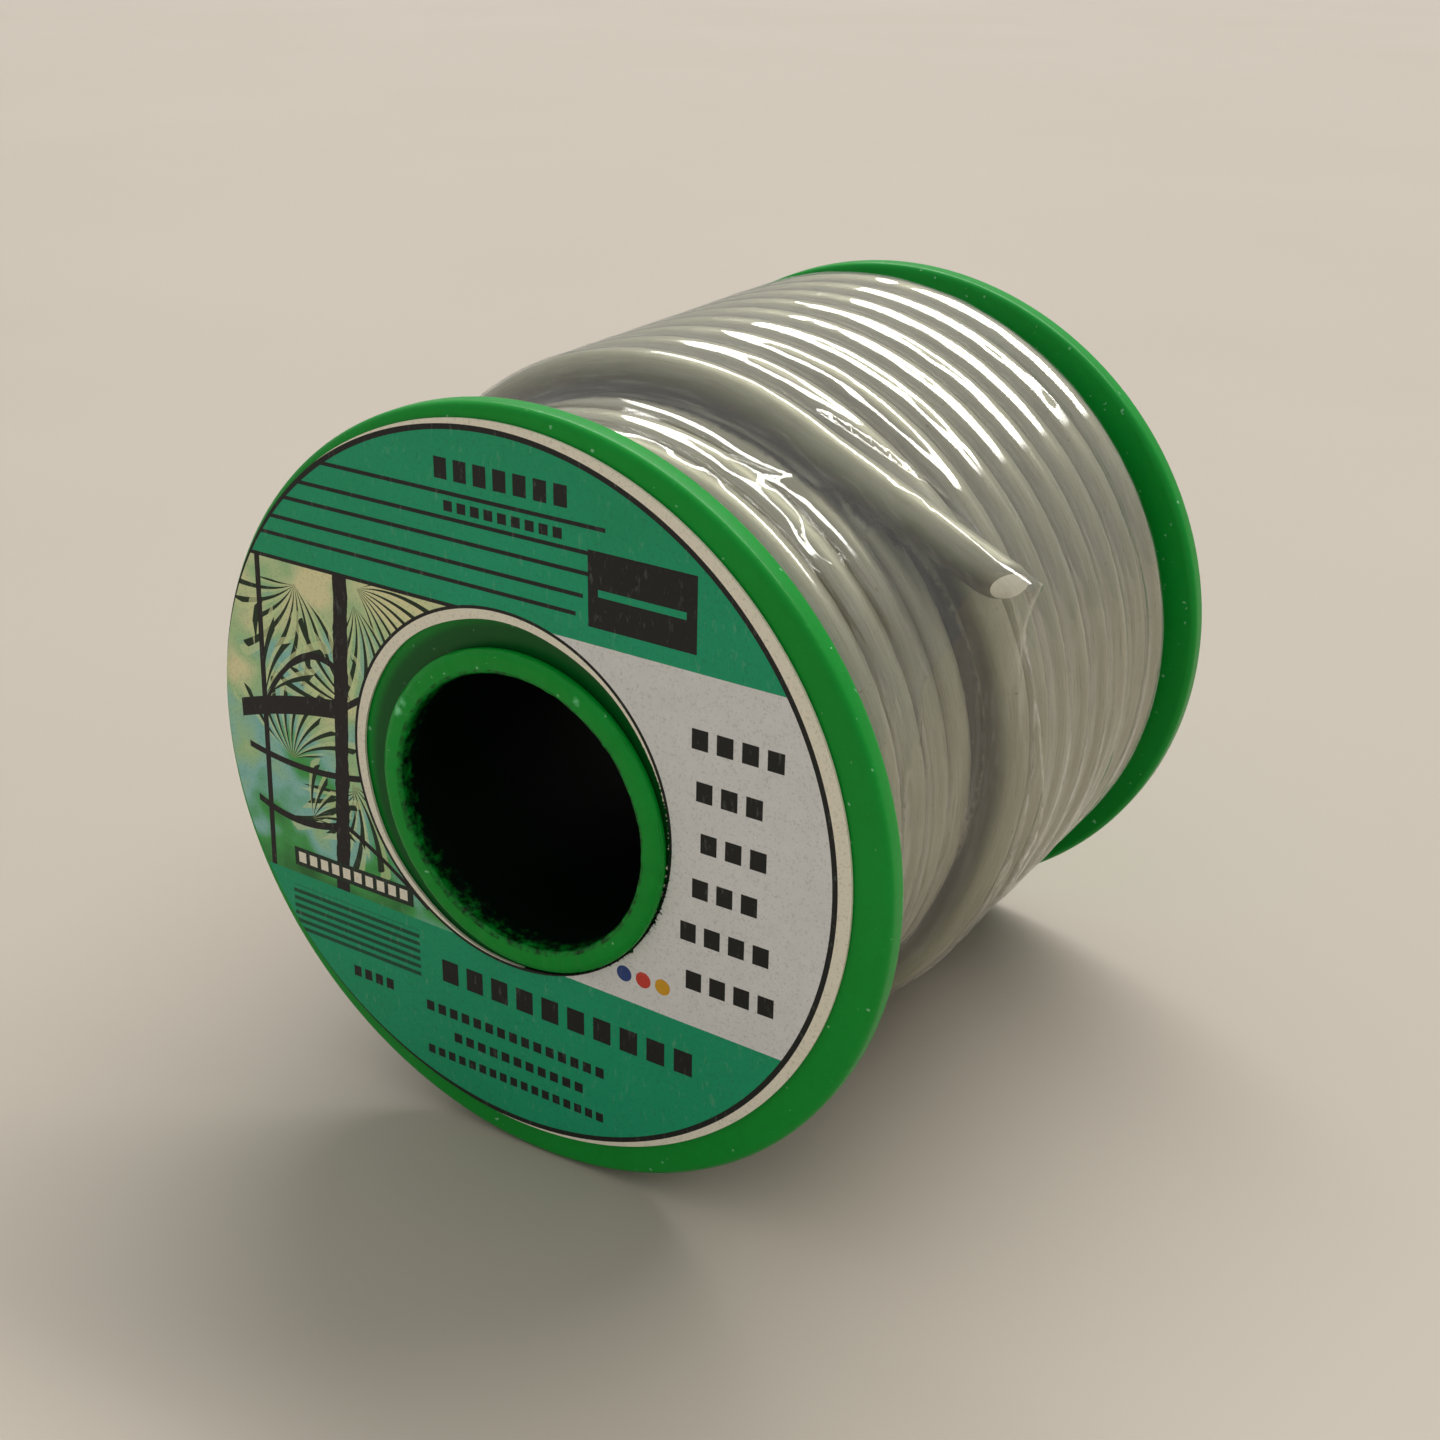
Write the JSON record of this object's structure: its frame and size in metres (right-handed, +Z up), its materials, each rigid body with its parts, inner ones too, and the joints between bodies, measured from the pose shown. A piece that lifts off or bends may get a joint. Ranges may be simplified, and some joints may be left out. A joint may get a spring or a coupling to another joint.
{
  "type": "solder wire spool",
  "caption": "Green plastic spool lying on its two rims, wound with thick bare solder wire under clear film, with a printed ring label on one end.",
  "frame": {"origin": "on the surface the spool lies on, under the middle of its axis", "axes": "+Z up; the spool's axis runs along Y, and the labelled end faces -Y; +X is the right-hand side seen from the labelled end"},
  "size_m": [0.0574, 0.0574, 0.0574],
  "materials": {
    "spool_plastic": "moulded green plastic, semi-gloss, lightly scuffed at the rims",
    "label_paper": "matt printed paper, slightly grainy, with a thin satin print",
    "solder": "dull silver tin alloy wire, satin, faintly drawn along its length",
    "clear_film": "thin clear plastic film, glossy, wrinkled"
  },
  "bodies": {
    "root": {"hub_tube": "spool_plastic", "front_flange": "spool_plastic", "rear_flange": "spool_plastic", "front_label": "label_paper", "solder_winding": "solder", "solder_tail": "solder", "film_wrap": "clear_film"}
  },
  "joints": []
}
